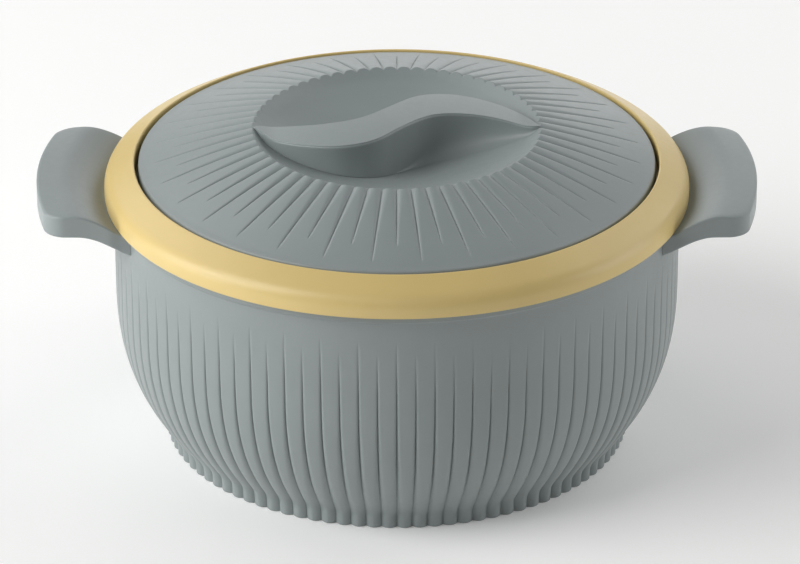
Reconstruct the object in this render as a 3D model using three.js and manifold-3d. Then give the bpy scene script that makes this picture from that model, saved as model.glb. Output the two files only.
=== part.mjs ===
// An insulated serving casserole: a fluted double-walled pot with a steel bowl, a rim ring,
// two side handles, and a lift-off insulated lid whose S-shaped grip stands in a round well.
// Millimetres, +Z up. The origin is under the pot's axis, on the surface that it stands on,
// and the handles lie along the X axis.

import * as THREE from "three";
import { mergeVertices } from "three/addons/utils/BufferGeometryUtils.js";
import Module from "manifold-3d";

const wasm = await Module();
wasm.setup();

// Overall sizes
const lidRadius = 115.5;
const lidEdgeHeight = 130;

// Clearances and overrun
const seatGap = 0.3;
const roundGap = 0.9;
const lidGap = 1.4;
const plugGap = 0.8;
const foamGap = 1.2;
const overrun = 5;
const joinDistance = 0.001;

// Rim ring
const ringWidth = 13.6;
const ringDrop = 14;
const ringSkirt = 2.6;
const ringShoulderDrop = 4.6;
const ringSideDrop = 8.2;
const ringEdgeRound = 1.6;
const ledgeWidth = 8;
const ledgeDrop = 8;
const ledgeThickness = 2.4;

// Outer shell
const lipShow = 4;
const lipStep = 1.2;
const shellWall = 3.2;
const shellFlangeWidth = 6;
const shellFlangeThickness = 2.4;
const footInset = 21.6;
const footBand = 7;
const footRim = 4.6;
const footRimHeight = 4.3;
const footLedge = 2.6;
const footLedgeThickness = 2.2;
const bellyHeightShare = 0.67;
const bellyCurvePower = 2.6;

// Flutes of the outer shell
const groovesPerLipFacet = 2;
const groovesPerInnerFacet = 3;
const fluteCount = 96;
const fluteTipDrop = 9.7;
const fluteTipStagger = 6.1;
const fluteDepth = 1.6;
const fluteDepthPower = 0.8;
const fluteHalfWidthShare = 0.3;
const fluteWidthPower = 1.2;
const fluteStationShares = [0.035, 0.18, 0.42, 0.68];

// Steel bowl
const steel = 0.8;
const bowlFlangeInset = 2.1;
const bowlMouthInset = 10.5;
const bowlDepth = 84;
const bowlShoulder = 3;
const bowlTaper = 5;
const bowlFloorRadius = 62;
const bowlBendHeight = 34;
const bowlBendSteps = 3;

// Base cover and its filler plug
const coverWall = 2.4;
const coverRimWidth = 16;
const coverStep = 3;
const fillHoleRadius = 8;
const plugHeadOverlap = 3.5;
const plugHead = 1.4;
const plugBarb = 0.9;
const plugBarbLength = 2.2;

// Body foam
const foamTopDrop = 14;

// Lid cover
const lidWall = 2.4;
const lidSkirtWall = 2.2;
const lidRimRise = 15.9;
const lidShoulderRise = 2.7;
const lidEdgeRound = 1.3;
const wellRadiusShare = 0.556;
const wellDepth = 17.7;
const wellStations = [
  { radiusShare: 0.14, rise: 1.6 },
  { radiusShare: 0.3, rise: 5.7 },
  { radiusShare: 0.47, rise: 11.7 },
];

// Grooves of the lid cover
const grooveCount = 64;
const groovesPerLidFacet = 2;
const grooveLongShare = 0.944;
const grooveShortShare = 0.865;
const grooveDepth = 1.1;
const grooveHalfWidthShare = 0.3;
const groovePower = 0.9;
const grooveStationShares = [0.28, 0.6];

// Lid liner and foam
const linerWall = 2;
const linerFlangeThickness = 2.2;
const linerDip = 9;
const linerRound = 4;
const lidFoamDip = 3.8;

// Grip
const gripCrown = 5.35;
const gripFall = 7;
const gripBevel = 0.9;
const maxBevelShare = 0.4;
const gripEdgeShares = [
  [-1, 0],
  [-0.93, 0.008],
  [-0.78, -0.039],
  [-0.6, -0.074],
  [-0.42, -0.068],
  [-0.28, -0.03],
  [-0.18, 0.035],
  [-0.08, 0.133],
  [0.02, 0.242],
  [0.12, 0.345],
  [0.24, 0.408],
  [0.42, 0.425],
  [0.64, 0.361],
  [0.84, 0.23],
  [1, 0],
];
const gripStations = 26;
const gripScrewAlongShare = 0.15;
const gripScrewAcrossShare = 0.13;

// Handles
const handleReach = 30;
const handleHalfWidth = 50.4;
const handleTaper = 3.6;
const handleCorner = 10;
const handleRootThickness = 8;
const handleTipThickness = 10;
const handleRise = 8.7;
const handleRiseLength = 16.5;
const handleBossRadius = 3.8;
const handleBossEnd = 2;
const handleEdge = 2.8;
const handleEdgePower = 3;
const handleNeckShares = [0, 0.14, 0.3, 0.5, 0.75];
const edgeShares = [0, 0.6, 0.9, 1];
const handleColumnShares = [0, 0.5];
const handleScrewAngle = THREE.MathUtils.degToRad(13);
const handleScrewAngles = [-handleScrewAngle, handleScrewAngle];

// Screws
const screwRadius = 1.5;
const screwHeadRadius = 3.4;
const screwHead = 2;
const handleScrewLength = 14;
const gripScrewLength = 9;

// Facets around each kind of round piece
const ringFacets = 64;
const bowlFacets = 36;
const foamFacets = 32;
const plugFacets = 12;
const screwFacets = 8;

// Radii that follow from the sizes above, from the ring inwards and down to the foot
const ringInnerRadius = lidRadius + lidGap;
const ringRadius = ringInnerRadius + ringWidth;
const ledgeRadius = ringInnerRadius - ledgeWidth;
const lipRadius = ringRadius - ringSkirt - seatGap;
const bellyRadius = lipRadius - lipStep;
const innerWallRadius = bellyRadius - shellWall;
const footRadius = bellyRadius - footInset;
const coverRadius = footRadius - footRim - roundGap;
const coverStepRadius = coverRadius - coverRimWidth;
const bowlMouthRadius = ringInnerRadius - bowlMouthInset;

// Heights that follow, from the ring downwards
const ringBottom = lidEdgeHeight - ringDrop;
const ledgeTop = lidEdgeHeight - ledgeDrop;
const ledgeBottom = ledgeTop - ledgeThickness;
const bowlTop = ledgeBottom - seatGap;
const bowlFloor = bowlTop - bowlDepth;
const lipTop = bowlTop - steel - seatGap;
const lipBottom = ringBottom - lipShow;
const longTipHeight = lipBottom - fluteTipDrop;
const shortTipHeight = longTipHeight - fluteTipStagger;
const bellyHeight = bellyHeightShare * lipBottom;
const footLedgeTop = footRimHeight + footLedgeThickness;
const coverTop = footRimHeight - seatGap;

// Radii and heights of the lid that follow
const wellRadius = wellRadiusShare * lidRadius;
const wellFloorRadius = wellStations[0].radiusShare * lidRadius;
const shortTipRadius = grooveShortShare * lidRadius;
const longTipRadius = grooveLongShare * lidRadius;
const linerRadius = lidRadius - lidSkirtWall - roundGap;
const linerPanRadius = bowlMouthRadius - bowlShoulder - plugGap;
const rimHeight = lidEdgeHeight + lidRimRise;
const wellFloorHeight = rimHeight - wellDepth;
const skirtBottom = ledgeTop + seatGap;
const linerBottom = skirtBottom - linerDip;

// Places of the handles and of the screws
const handleRootRadius = lipRadius + seatGap;
const handleTipRadius = ringRadius + handleReach;
const handleRiseRadius = ringRadius + seatGap;
const handleRootTop = ringBottom - 2 * seatGap;
const handleScrewHeight = handleRootTop - handleRootThickness / 2;
const innerFacetTurn = (groovesPerInnerFacet * Math.PI) / fluteCount;
const handleScrewSeat = innerWallRadius * Math.cos(innerFacetTurn) - 2 * seatGap;
const screwHoleRadius = screwRadius + seatGap;
const gripScrewPlace = new THREE.Vector2(gripScrewAlongShare, gripScrewAcrossShare);
gripScrewPlace.multiplyScalar(wellRadius);
const gripScrewPlaces = [gripScrewPlace, gripScrewPlace.clone().negate()];
const wellFloorSlope = wellStations[0].rise / wellFloorRadius;
const gripScrewInnerSide = gripScrewPlace.length() - screwHeadRadius;
const gripScrewSeat = wellFloorHeight - lidWall + wellFloorSlope * gripScrewInnerSide - seatGap;

// Materials, with the photographed colours
const plastics = { roughness: 0.55, metalness: 0 };
const finishes = {
  greyPlastic: { color: 0x8b9694, ...plastics },
  innerPlastic: { color: 0xb9bdb9, ...plastics },
  yellowPlastic: { color: 0xdcc88d, ...plastics },
  steel: { color: 0xc4c6c8, roughness: 0.3, metalness: 1 },
  screwSteel: { color: 0xa9abad, roughness: 0.4, metalness: 1 },
  foam: { color: 0xe9dfb6, roughness: 0.95, metalness: 0 },
};

// A closed geometry as a solid. Triangles that lost a side when equal corners were joined go.
function solidOf(geometry) {
  const bare = geometry.clone();
  bare.deleteAttribute("normal");
  bare.deleteAttribute("uv");
  const joined = mergeVertices(bare, joinDistance);
  const corners = joined.index.array;
  const kept = [];
  for (let i = 0; i < corners.length; i += 3) {
    const [a, b, c] = corners.subarray(i, i + 3);
    if (a !== b && b !== c && c !== a) kept.push(a, b, c);
  }
  const mesh = new wasm.Mesh({
    numProp: 3,
    vertProperties: joined.getAttribute("position").array,
    triVerts: new Uint32Array(kept),
  });
  return new wasm.Manifold(mesh);
}

// A solid as a geometry with flat facets
function geometryOf(solid) {
  const mesh = solid.getMesh();
  const geometry = new THREE.BufferGeometry();
  geometry.setAttribute("position", new THREE.BufferAttribute(mesh.vertProperties, 3));
  geometry.setIndex(new THREE.BufferAttribute(mesh.triVerts, 1));
  const faceted = geometry.toNonIndexed();
  faceted.computeVertexNormals();
  return faceted;
}

// A profile of [radius, height] points, outer side upwards, turned about the Z axis
function revolve(profile, facets) {
  const points = profile.map(([radius, height]) => new THREE.Vector2(radius, height));
  const onAxis = profile[0][0] === 0;
  if (!onAxis) points.push(points[0].clone());
  const geometry = new THREE.LatheGeometry(points, facets);
  geometry.rotateX(Math.PI / 2);
  return solidOf(geometry);
}

// Closed rows of points, each joined to the next, and the last to the first when the rows ring
function skin(rows, ringed) {
  const around = rows[0].length;
  const positions = rows.flat().flatMap((point) => point.toArray());
  const index = [];
  const bands = ringed ? rows.length : rows.length - 1;
  for (let row = 0; row < bands; row++) {
    const start = row * around;
    const next = ((row + 1) % rows.length) * around;
    for (let k = 0; k < around; k++) {
      const turn = (k + 1) % around;
      index.push(start + k, start + turn, next + turn);
      index.push(start + k, next + turn, next + k);
    }
  }
  const geometry = new THREE.BufferGeometry();
  geometry.setAttribute("position", new THREE.Float32BufferAttribute(positions, 3));
  geometry.setIndex(index);
  return solidOf(geometry);
}

// A point at a radius, an angle about Z and a height
function polar(radius, angle, height) {
  return new THREE.Vector3(radius * Math.cos(angle), radius * Math.sin(angle), height);
}

// One row around the axis with a V groove at each pitch, three points to a groove, the first at
// the front. cut(isOdd) gives a groove's half width as a share of the pitch, and its depth
// inwards and downwards.
function groovedRow(radius, height, count, cut) {
  const pitch = (2 * Math.PI) / count;
  const row = [];
  for (let k = 0; k < count; k++) {
    const { halfShare, inwards, downwards } = cut(k % 2 === 1);
    const angle = k * pitch - Math.PI / 2;
    row.push(polar(radius, angle - halfShare * pitch, height));
    row.push(polar(radius - inwards, angle, height - downwards));
    row.push(polar(radius, angle + halfShare * pitch, height));
  }
  return row;
}

// Rows without grooves for a profile of [radius, height] points, with as many points as a
// grooved row but a corner only at every first or every second groove
function plainRows(profile, count, groovesPerFacet) {
  const pitch = (2 * Math.PI) / count;
  return profile.map(([radius, height]) => {
    const row = [];
    for (let k = 0; k < count; k++) {
      const first = k - (k % groovesPerFacet);
      const corner = polar(radius, first * pitch - Math.PI / 2, height);
      row.push(corner, corner, corner);
    }
    return row;
  });
}

// Radius of the shell's ribs at a height: upright at the belly, curving in to the foot band
function bellyProfile(height) {
  const climb = (height - footBand) / (bellyHeight - footBand);
  const share = THREE.MathUtils.clamp(climb, 0, 1);
  return footRadius + footInset * (1 - Math.pow(1 - share, bellyCurvePower));
}

// How a flute is cut at a height: widest and deepest at the foot, nothing at its tip
function fluteCut(height) {
  return (isOdd) => {
    const tip = isOdd ? shortTipHeight : longTipHeight;
    const share = Math.max(0, (tip - Math.max(height, footBand)) / (tip - footBand));
    return {
      halfShare: fluteHalfWidthShare * Math.pow(share, fluteWidthPower),
      inwards: fluteDepth * Math.pow(share, fluteDepthPower),
      downwards: 0,
    };
  };
}

// Heights at which the shell's wall bends, above the foot band and below the short flute tips
function wallHeights() {
  return fluteStationShares.map((share) => footBand + share * (shortTipHeight - footBand));
}

// The fluted shell, with its lip and inward flange at the top and its foot ring at the base
function outerShell() {
  const heights = [0, footBand, ...wallHeights(), shortTipHeight, longTipHeight];
  const fluted = heights.map((height) => {
    return groovedRow(bellyProfile(height), height, fluteCount, fluteCut(height));
  });
  const lip = [
    [bellyRadius, lipBottom],
    [lipRadius, lipBottom],
    [lipRadius, lipTop],
  ];
  const flangeBottom = lipTop - shellFlangeThickness;
  const flangeRadius = innerWallRadius - shellFlangeWidth;
  const footInside = footRadius - footRim;
  const inside = [
    [flangeRadius, lipTop],
    [flangeRadius, flangeBottom],
    [innerWallRadius, flangeBottom],
    ...foamedHeights().map((height) => [bellyProfile(height) - shellWall, height]).reverse(),
    [footInside, footLedgeTop],
    [footInside - footLedge, footLedgeTop],
    [footInside - footLedge, footRimHeight],
    [footInside, footRimHeight],
    [footInside, 0],
  ];
  const rows = [
    ...fluted,
    ...plainRows(lip, fluteCount, groovesPerLipFacet),
    ...plainRows(inside, fluteCount, groovesPerInnerFacet),
  ];
  let shell = skin(rows, true);
  for (const angle of handleScrewAngles) {
    shell = shell.subtract(handleScrewHole(angle));
    shell = shell.subtract(handleScrewHole(angle + Math.PI));
  }
  return shell;
}

// Heights of the bends that the shell's inside and the foam share, from the foot upwards
function foamedHeights() {
  return wallHeights().slice(1);
}

// Inside of the steel bowl from its wall's top to its middle, moved outwards by an offset
function bowlOutline(offset) {
  const wallRadius = bowlMouthRadius - bowlShoulder;
  const bendRadius = wallRadius - bowlTaper;
  const outline = [[wallRadius + offset, bowlTop - bowlShoulder - offset / 2]];
  for (let step = 0; step <= bowlBendSteps; step++) {
    const turn = (step / bowlBendSteps) * (Math.PI / 2);
    const radius = bowlFloorRadius + (bendRadius - bowlFloorRadius) * Math.cos(turn);
    const height = bowlFloor + steel + bowlBendHeight * (1 - Math.sin(turn));
    outline.push([radius + offset, height - offset]);
  }
  outline.push([0, bowlFloor + steel - offset]);
  return outline;
}

// Steel bowl: a flange under the ring, a slightly tapered wall and a bend into a flat floor
function innerBowl() {
  const flangeRadius = lipRadius - bowlFlangeInset;
  const profile = [
    ...bowlOutline(steel).reverse(),
    [bowlMouthRadius + steel, bowlTop - steel],
    [flangeRadius, bowlTop - steel],
    [flangeRadius, bowlTop],
    [bowlMouthRadius, bowlTop],
    ...bowlOutline(0),
  ];
  return revolve(profile, bowlFacets);
}

// Rim ring: a crowned top, an outer skirt over the shell's lip, and a ledge that bears the lid
function rimRing() {
  const shoulder = lidEdgeHeight - ringShoulderDrop;
  const sideTop = lidEdgeHeight - ringSideDrop;
  const skirtInside = ringRadius - ringSkirt;
  const profile = [
    [ringRadius, ringBottom],
    [ringRadius, sideTop],
    [ringRadius - ringEdgeRound, shoulder],
    [ringRadius - 2.5 * ringEdgeRound, shoulder + ringEdgeRound / 2],
    [ringInnerRadius + 1.5 * ringEdgeRound, lidEdgeHeight],
    [ringInnerRadius + ringEdgeRound / 3, lidEdgeHeight - ringEdgeRound / 3],
    [ringInnerRadius, lidEdgeHeight - ringEdgeRound],
    [ringInnerRadius, ledgeTop],
    [ledgeRadius, ledgeTop],
    [ledgeRadius, ledgeBottom],
    [skirtInside, ledgeBottom],
    [skirtInside, ringBottom],
  ];
  return revolve(profile, ringFacets);
}

// Base cover: a rim that snaps up to the foot ledge, and a raised middle with the filler hole
function baseCover() {
  const rimBottom = coverTop - coverWall;
  const profile = [
    [fillHoleRadius, rimBottom + coverStep],
    [coverStepRadius - coverStep, rimBottom + coverStep],
    [coverStepRadius, rimBottom],
    [coverRadius, rimBottom],
    [coverRadius, coverTop],
    [coverStepRadius, coverTop],
    [coverStepRadius - coverStep, coverTop + coverStep],
    [fillHoleRadius, coverTop + coverStep],
  ];
  return revolve(profile, bowlFacets);
}

// A push-in plug for a filler hole in a wall whose lower face is at a height
function fillerPlug(wallBottom, wall) {
  const shank = fillHoleRadius - seatGap;
  const barbBottom = wallBottom + wall + seatGap;
  const headTop = wallBottom - seatGap;
  const profile = [
    [0, headTop - plugHead],
    [fillHoleRadius + plugHeadOverlap, headTop - plugHead],
    [fillHoleRadius + plugHeadOverlap, headTop],
    [shank, headTop],
    [shank, barbBottom],
    [shank + plugBarb, barbBottom],
    [shank - plugBarb, barbBottom + plugBarbLength],
    [0, barbBottom + plugBarbLength],
  ];
  return revolve(profile, plugFacets);
}

// The hollow that foam leaves around a plug's barb, above a floor, as points from the axis
function plugPocket(floor) {
  const pocketRadius = fillHoleRadius + plugHeadOverlap;
  const pocketTop = floor + plugBarbLength + foamGap;
  return [
    [0, pocketTop],
    [pocketRadius, pocketTop],
    [pocketRadius, floor],
  ];
}

// Foam between the shell and the bowl, resting on the base cover
function bodyFoam() {
  const floor = coverTop + coverStep + seatGap;
  const wallGap = shellWall + foamGap;
  const top = lipTop - foamTopDrop;
  const profile = [
    ...plugPocket(floor),
    [footRadius - footRim - foamGap, floor],
    ...foamedHeights().map((height) => [bellyProfile(height) - wallGap, height]),
    [bellyProfile(top) - wallGap, top],
    [bowlOutline(steel + foamGap)[0][0], top],
    ...bowlOutline(steel + foamGap).slice(1),
  ];
  return revolve(profile, foamFacets);
}

// Face of the lid's dished well from the middle to the bend below its rim, raised by a clearance
function wellProfile(raise) {
  const floor = wellFloorHeight + raise;
  const face = wellStations.map(({ radiusShare, rise }) => [radiusShare * lidRadius, floor + rise]);
  return [[0, floor], ...face];
}

// How a lid groove is cut at a radius: widest and deepest at the well, nothing at its tip
function grooveCut(radius) {
  return (isOdd) => {
    const tip = isOdd ? longTipRadius : shortTipRadius;
    const share = Math.max(0, (tip - radius) / (tip - wellRadius));
    return {
      halfShare: grooveHalfWidthShare * Math.pow(share, groovePower),
      inwards: 0,
      downwards: grooveDepth * Math.pow(share, groovePower),
    };
  };
}

// Height of the lid's dome at a radius between the well's rim and the long groove tips
function domeHeight(radius) {
  const share = (radius - wellRadius) / (longTipRadius - wellRadius);
  return rimHeight - share * (lidRimRise - lidShoulderRise);
}

// The lid's cover: a well, a grooved dome around it, a rounded edge and a skirt
function lidCover() {
  const stations = grooveStationShares.map((share) => {
    return wellRadius + share * (shortTipRadius - wellRadius);
  });
  const dome = [wellRadius, ...stations, shortTipRadius, longTipRadius].map((radius) => {
    return groovedRow(radius, domeHeight(radius), grooveCount, grooveCut(radius));
  });
  const skirtInside = lidRadius - lidSkirtWall;
  const below = [
    ...wellProfile(-lidWall),
    [wellRadius, rimHeight - grooveDepth - lidWall],
    [longTipRadius, domeHeight(longTipRadius) - lidWall],
    [skirtInside, lidEdgeHeight - lidWall],
    [skirtInside, skirtBottom],
  ];
  const edge = [
    [lidRadius, skirtBottom],
    [lidRadius, lidEdgeHeight - lidEdgeRound],
    [lidRadius - lidEdgeRound / 3, lidEdgeHeight],
    [lidRadius - lidEdgeRound, lidEdgeHeight + lidEdgeRound / 2],
  ];
  const rows = [
    ...plainRows(below, grooveCount, groovesPerLidFacet),
    ...plainRows(edge, grooveCount, 1),
    ...dome.reverse(),
    ...plainRows(wellProfile(0).reverse(), grooveCount, groovesPerLidFacet),
  ];
  let cover = skin(rows, false);
  for (const place of gripScrewPlaces) {
    const hole = screwHole(lidWall + wellStations[0].rise + overrun);
    cover = cover.subtract(hole.translate([place.x, place.y, gripScrewSeat]));
  }
  return cover;
}

// The lid's liner: a flange inside the skirt and a shallow pan that dips into the bowl's mouth
function lidLiner() {
  const flangeTop = skirtBottom + linerFlangeThickness;
  const panInside = linerPanRadius - linerWall;
  const bend = linerRound - linerWall;
  const profile = [
    [fillHoleRadius, linerBottom],
    [linerPanRadius - linerRound, linerBottom],
    [linerPanRadius, linerBottom + linerRound],
    [linerPanRadius, skirtBottom],
    [linerRadius, skirtBottom],
    [linerRadius, flangeTop],
    [panInside, flangeTop],
    [panInside, linerBottom + linerRound],
    [panInside - bend, linerBottom + linerWall],
    [fillHoleRadius, linerBottom + linerWall],
  ];
  return revolve(profile, bowlFacets);
}

// Foam that fills the lid between its cover and its liner
function lidFoam() {
  const floor = linerBottom + linerWall + seatGap;
  const panRadius = linerPanRadius - linerWall - foamGap;
  const shelf = skirtBottom + linerFlangeThickness + seatGap;
  const outerRadius = longTipRadius - lidWall;
  const profile = [
    ...plugPocket(floor),
    [panRadius - linerRound, floor],
    [panRadius, floor + linerRound],
    [panRadius, shelf],
    [outerRadius, shelf],
    [outerRadius, domeHeight(longTipRadius) - lidWall - foamGap],
    [wellRadius, rimHeight - grooveDepth - lidWall - foamGap],
    ...wellProfile(-lidWall - lidFoamDip).reverse(),
  ];
  return revolve(profile, foamFacets);
}

// Back edge of the grip's outline as a curve from its left tip to its right tip
function gripEdge() {
  const length = wellRadius - seatGap;
  const points = gripEdgeShares.map(([along, across]) => {
    return new THREE.Vector2(along, across).multiplyScalar(length);
  });
  return new THREE.SplineCurve(points);
}

// Height of the grip's domed top at a point in plan
function gripTop(point) {
  return rimHeight + gripCrown - gripFall * Math.pow(point.length() / wellRadius, 2);
}

// One section across the grip, from the back over the bevelled top to the front and below
function gripSection(back, front) {
  const bevelShare = Math.min(maxBevelShare, gripBevel / back.distanceTo(front));
  const backInner = back.clone().lerp(front, bevelShare);
  const middle = back.clone().lerp(front, 1 / 2);
  const frontInner = front.clone().lerp(back, bevelShare);
  const corner = (point, height) => new THREE.Vector3(point.x, point.y, height);
  return [
    corner(back, wellFloorHeight - overrun),
    corner(back, gripTop(back) - gripBevel),
    corner(backInner, gripTop(backInner)),
    corner(middle, gripTop(middle)),
    corner(frontInner, gripTop(frontInner)),
    corner(front, gripTop(front) - gripBevel),
    corner(front, wellFloorHeight - overrun),
  ];
}

// The S-shaped grip. Its front edge is its back edge turned half round, and its underside
// follows the well.
function lidGrip() {
  const backEdge = gripEdge();
  const rows = [];
  for (let station = 0; station <= gripStations; station++) {
    const share = station / gripStations;
    const back = backEdge.getPoint(share);
    const front = backEdge.getPoint(1 - share).negate();
    rows.push(gripSection(back, front));
  }
  const depth = wellFloorHeight - 2 * overrun;
  const well = revolve(
    [
      [0, depth],
      [wellRadius + overrun, depth],
      [wellRadius + overrun, rimHeight + seatGap],
      [wellRadius, rimHeight + seatGap],
      ...wellProfile(seatGap).reverse(),
    ],
    grooveCount / groovesPerLidFacet,
  );
  let grip = skin(rows, false).subtract(well);
  for (const place of gripScrewPlaces) {
    const hole = screwHole(gripScrewLength + seatGap);
    grip = grip.subtract(hole.translate([place.x, place.y, gripScrewSeat]));
  }
  return grip;
}

// Share of the way from a handle's root to its outer edge at a radius
function handleShare(radius) {
  return (radius - handleRootRadius) / (handleTipRadius - handleRootRadius);
}

// Half width of a handle at a radius: sides that draw in ever less, and round into the outer edge
function handleHalfWidthAt(radius) {
  const share = handleShare(radius);
  const side = handleHalfWidth - handleTaper * share * (2 - share);
  const intoCorner = Math.max(0, radius - (handleTipRadius - handleCorner)) / handleCorner;
  return side - handleCorner * (1 - Math.sqrt(1 - intoCorner * intoCorner));
}

// Middle height and half thickness of a handle at a radius, before its edges are rounded
function handleLevels(radius) {
  const climbed = (start) => {
    const climb = (radius - start) / handleRiseLength;
    return Math.sin((Math.PI / 2) * THREE.MathUtils.clamp(climb, 0, 1));
  };
  const top = handleRise * climbed(handleRiseRadius);
  const tipBottom = handleRise + handleRootThickness - handleTipThickness;
  const bottom = tipBottom * climbed(handleRootRadius);
  const thickness = handleRootThickness + top - bottom;
  return { middle: handleRootTop + top - thickness / 2, half: thickness / 2 };
}

// How much of the thickness is left at a share of the way through the rounded edge
function edgeLeft(share) {
  return Math.pow(1 - Math.pow(share, handleEdgePower), 1 / handleEdgePower);
}

// One section across a handle at a radius, as a closed row from the top's back edge
function handleSection(radius, left) {
  const width = handleHalfWidthAt(radius);
  const { middle, half } = handleLevels(radius);
  const inner = width - handleEdge;
  const columns = [
    ...handleColumnShares.map((share) => ({ across: share * inner, share: 0 })),
    ...edgeShares.map((share) => ({ across: inner + share * handleEdge, share })),
  ];
  const point = (side, level) => ({ across, share }) => {
    const along = Math.sqrt(radius * radius - across * across);
    const height = middle + level * half * left * edgeLeft(share);
    return new THREE.Vector3(along, side * across, height);
  };
  return [
    ...columns.map(point(1, 1)).reverse(),
    ...columns.map(point(-1, 1)),
    ...columns.map(point(-1, -1)).reverse(),
    ...columns.map(point(1, -1)),
  ];
}

// A handle, cut at its root to the shell's lip and wall, with two blind screw holes
function handle() {
  const neck = handleTipRadius - handleEdge - handleRiseRadius;
  const buried = handleRootRadius - overrun;
  const rows = [
    handleSection(buried, 0),
    handleSection(buried + overrun / 2, 1),
    ...handleNeckShares.map((share) => handleSection(handleRiseRadius + share * neck, 1)),
    ...edgeShares.map((share) => {
      return handleSection(handleTipRadius - handleEdge * (1 - share), edgeLeft(share));
    }),
  ];
  const shellOutside = revolve(
    [
      [0, lipBottom - ringDrop],
      [bellyRadius + seatGap, lipBottom - ringDrop],
      [bellyRadius + seatGap, lipBottom - seatGap],
      [handleRootRadius, lipBottom - seatGap],
      [handleRootRadius, lidEdgeHeight],
      [0, lidEdgeHeight],
    ],
    fluteCount,
  );
  const boss = rod(handleBossRadius, handleScrewLength + handleBossEnd);
  let shape = skin(rows, false);
  for (const angle of handleScrewAngles) {
    shape = shape.add(alongHandleScrew(boss, angle));
  }
  shape = shape.subtract(shellOutside);
  for (const angle of handleScrewAngles) {
    shape = shape.subtract(handleScrewHole(angle));
  }
  return shape;
}

// A round rod, upwards from the origin
function rod(radius, length) {
  const profile = [
    [0, 0],
    [radius, 0],
    [radius, length],
    [0, length],
  ];
  return revolve(profile, screwFacets);
}

// A round hole for a screw, upwards from the origin
function screwHole(length) {
  return rod(screwHoleRadius, length);
}

// A rod laid where a handle's screw goes, outwards from the inside of the shell at an angle about Z
function alongHandleScrew(straight, angle) {
  const degrees = THREE.MathUtils.radToDeg(angle);
  const laid = straight.rotate([0, 90, 0]).translate([handleScrewSeat, 0, handleScrewHeight]);
  return laid.rotate([0, 0, degrees]);
}

// The hole of a handle's screw
function handleScrewHole(angle) {
  return alongHandleScrew(screwHole(handleScrewLength + seatGap), angle);
}

// A pan-head screw along Z, its head's bearing face at the origin
function screw(length) {
  const profile = [
    [0, -screwHead],
    [screwHeadRadius - screwHead / 2, -screwHead],
    [screwHeadRadius, -screwHead / 2],
    [screwHeadRadius, 0],
    [screwRadius, 0],
    [screwRadius, length - screwRadius],
    [0, length],
  ];
  return revolve(profile, screwFacets);
}

// A named mesh of a solid in one of the finishes
function piece(name, solid, finish) {
  const mesh = new THREE.Mesh(geometryOf(solid), new THREE.MeshStandardMaterial(finish));
  mesh.name = name;
  return mesh;
}

// The two handles, each turned to its side, with the two screws that hold it from inside
function handleGroup(side, angle) {
  const group = new THREE.Group();
  group.rotation.z = angle;
  group.add(piece(`handle_${side}`, handle(), finishes.greyPlastic));
  handleScrewAngles.forEach((screwAngle, index) => {
    const pivot = new THREE.Group();
    pivot.rotation.z = screwAngle;
    const name = `handle_screw_${side}_${index + 1}`;
    const mesh = piece(name, screw(handleScrewLength), finishes.screwSteel);
    mesh.position.set(handleScrewSeat, 0, handleScrewHeight);
    mesh.rotation.y = Math.PI / 2;
    pivot.add(mesh);
    group.add(pivot);
  });
  return group;
}

// Everything that stays on the table
function bodyGroup() {
  const group = new THREE.Group();
  group.add(piece("outer_shell", outerShell(), finishes.greyPlastic));
  group.add(piece("inner_bowl", innerBowl(), finishes.steel));
  group.add(piece("rim_ring", rimRing(), finishes.yellowPlastic));
  group.add(piece("body_foam", bodyFoam(), finishes.foam));
  group.add(piece("base_cover", baseCover(), finishes.greyPlastic));
  const plugSeat = coverTop - coverWall + coverStep;
  group.add(piece("base_plug", fillerPlug(plugSeat, coverWall), finishes.greyPlastic));
  group.add(handleGroup("right", 0));
  group.add(handleGroup("left", Math.PI));
  return group;
}

// Everything that lifts off with the lid
function lidGroup() {
  const group = new THREE.Group();
  group.add(piece("lid_cover", lidCover(), finishes.greyPlastic));
  group.add(piece("lid_grip", lidGrip(), finishes.greyPlastic));
  group.add(piece("lid_foam", lidFoam(), finishes.foam));
  group.add(piece("lid_liner", lidLiner(), finishes.innerPlastic));
  group.add(piece("lid_plug", fillerPlug(linerBottom, linerWall), finishes.innerPlastic));
  gripScrewPlaces.forEach((place, index) => {
    const mesh = piece(`grip_screw_${index + 1}`, screw(gripScrewLength), finishes.screwSteel);
    mesh.position.set(place.x, place.y, gripScrewSeat);
    group.add(mesh);
  });
  return group;
}

const casserole = new THREE.Group();
casserole.add(bodyGroup());
casserole.add(lidGroup());

export default casserole;
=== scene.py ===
"""The insulated casserole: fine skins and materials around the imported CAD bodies.

Sizes are in millimetres in the row frame, and become metres when a mesh is made.
"""

import math

import bmesh
import bpy
import numpy as np
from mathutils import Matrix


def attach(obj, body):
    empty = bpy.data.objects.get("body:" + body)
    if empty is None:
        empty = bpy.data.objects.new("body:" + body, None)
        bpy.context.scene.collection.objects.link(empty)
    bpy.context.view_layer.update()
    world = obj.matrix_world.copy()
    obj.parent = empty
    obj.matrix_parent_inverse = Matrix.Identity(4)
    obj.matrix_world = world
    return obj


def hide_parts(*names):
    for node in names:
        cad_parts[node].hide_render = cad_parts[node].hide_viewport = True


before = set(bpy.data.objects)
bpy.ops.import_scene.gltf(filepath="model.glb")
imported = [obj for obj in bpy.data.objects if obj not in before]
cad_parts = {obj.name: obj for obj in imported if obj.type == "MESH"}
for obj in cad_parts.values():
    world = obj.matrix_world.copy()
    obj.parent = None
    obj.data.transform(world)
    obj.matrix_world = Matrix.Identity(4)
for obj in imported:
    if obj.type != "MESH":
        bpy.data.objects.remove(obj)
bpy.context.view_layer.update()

TURN = 2 * math.pi
FRONT = -math.pi / 2
MM = 0.001

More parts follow.
